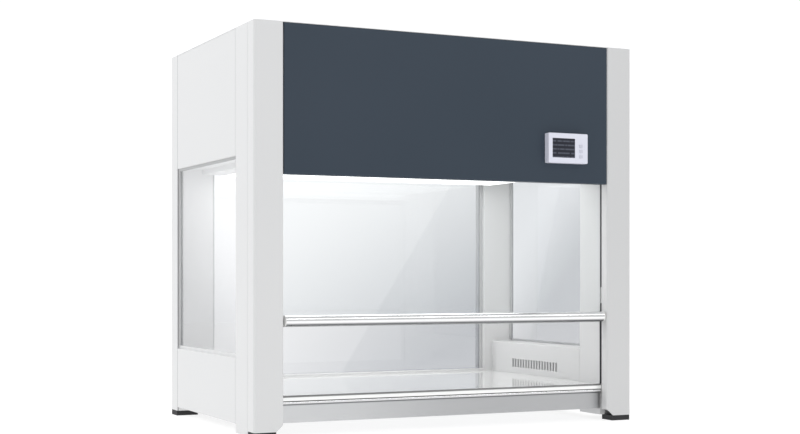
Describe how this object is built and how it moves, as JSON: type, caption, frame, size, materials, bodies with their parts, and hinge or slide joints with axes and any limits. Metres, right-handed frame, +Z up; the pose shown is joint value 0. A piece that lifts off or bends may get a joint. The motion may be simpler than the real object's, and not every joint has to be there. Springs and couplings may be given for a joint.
{
  "type": "fume hood",
  "caption": "Bench-top fume hood with a sliding glass sash, side and rear windows, slotted side grilles, a control module and a filtered fan plenum.",
  "frame": {"origin": "middle of the hood's outline on the bench it stands on", "axes": "+X to the right seen from the user, +Y from the user towards the back, +Z up"},
  "size_m": [1, 0.677, 0.932],
  "materials": {
    "white_paint": "satin powder coat",
    "blue_grey_paint": "satin powder coat",
    "polished_steel": "polished",
    "satin_steel": "satin",
    "galvanised_sheet": "galvanised",
    "shaft_steel": "bright",
    "polished_aluminium": "polished",
    "satin_aluminium": "satin",
    "window_glass": "clear",
    "lamp_glass": "frosted",
    "uv_lamp_glass": "clear",
    "dark_rubber": "matte",
    "dark_plastic": "matte",
    "light_plastic": "matte",
    "module_plastic": "satin",
    "button_plastic": "satin",
    "screen_plastic": "glossy",
    "board_laminate": "matte",
    "filter_board": "matte",
    "filter_paper": "matte",
    "filter_pad": "matte",
    "motor_iron": "painted"
  },
  "bodies": {
    "cabinet": {"left_column_cover": "white_paint", "right_column_cover": "white_paint", "left_column_body": "white_paint", "right_column_body": "white_paint", "left_rear_post": "white_paint", "right_rear_post": "white_paint", "left_upper_side_panel": "white_paint", "right_upper_side_panel": "white_paint", "left_upper_side_liner": "white_paint", "right_upper_side_liner": "white_paint", "left_lower_side_panel": "white_paint", "right_lower_side_panel": "white_paint", "left_lower_side_liner": "white_paint", "right_lower_side_liner": "white_paint", "left_sash_guide": "dark_plastic", "right_sash_guide": "dark_plastic", "left_side_glass": "window_glass", "right_side_glass": "window_glass", "left_side_gasket": "dark_rubber", "right_side_gasket": "dark_rubber", "left_worktop_bearer": "galvanised_sheet", "right_worktop_bearer": "galvanised_sheet", "rear_glass": "window_glass", "rear_gasket": "dark_rubber", "rear_upper_panel": "white_paint", "rear_lower_panel": "white_paint", "worktop": "polished_steel", "front_rail": "polished_steel", "apron": "satin_steel", "base_pan": "galvanised_sheet", "header_panel": "blue_grey_paint", "top_cover": "white_paint", "feet": "dark_rubber", "cable_gland": "dark_plastic", "plenum_front": "white_paint", "diffuser": "white_paint", "filter_frame": "filter_board", "filter_media": "filter_paper", "fan_deck": "galvanised_sheet", "fan_motor": "motor_iron", "motor_bridge": "galvanised_sheet", "prefilter": "filter_pad", "work_lamp": "lamp_glass", "uv_lamp": "uv_lamp_glass", "lamp_holders": "light_plastic", "control_housing": "module_plastic", "control_screen": "screen_plastic", "control_board": "board_laminate"},
    "sash": {"sash_glass": "window_glass", "sash_bar": "polished_aluminium", "bar_end_caps": "light_plastic", "sash_top_rail": "satin_aluminium", "sash_seal": "dark_rubber", "guide_shoes": "light_plastic"},
    "fan": {"impeller": "galvanised_sheet", "motor_shaft": "shaft_steel"},
    "lower_button": {"lower_button": "button_plastic"},
    "middle_button": {"middle_button": "button_plastic"},
    "upper_button": {"upper_button": "button_plastic"}
  },
  "joints": [
    {"name": "sash_slide", "type": "slide", "parent": "cabinet", "child": "sash", "axis": [0, 0, 1], "range_m": [-0.155, 0.15]},
    {"name": "fan_spin", "type": "hinge", "parent": "cabinet", "child": "fan", "pos_m": [0, -0.0095, 0.829], "axis": [0, 0, 1], "continuous": true},
    {"name": "lower_press", "type": "slide", "parent": "cabinet", "child": "lower_button", "axis": [0, 1, 0], "range_m": [0, 0.0012], "stiffness_N_per_m": 500, "springref_m": -0.001},
    {"name": "middle_press", "type": "slide", "parent": "cabinet", "child": "middle_button", "axis": [0, 1, 0], "range_m": [0, 0.0012], "stiffness_N_per_m": 500, "springref_m": -0.001},
    {"name": "upper_press", "type": "slide", "parent": "cabinet", "child": "upper_button", "axis": [0, 1, 0], "range_m": [0, 0.0012], "stiffness_N_per_m": 500, "springref_m": -0.001}
  ]
}
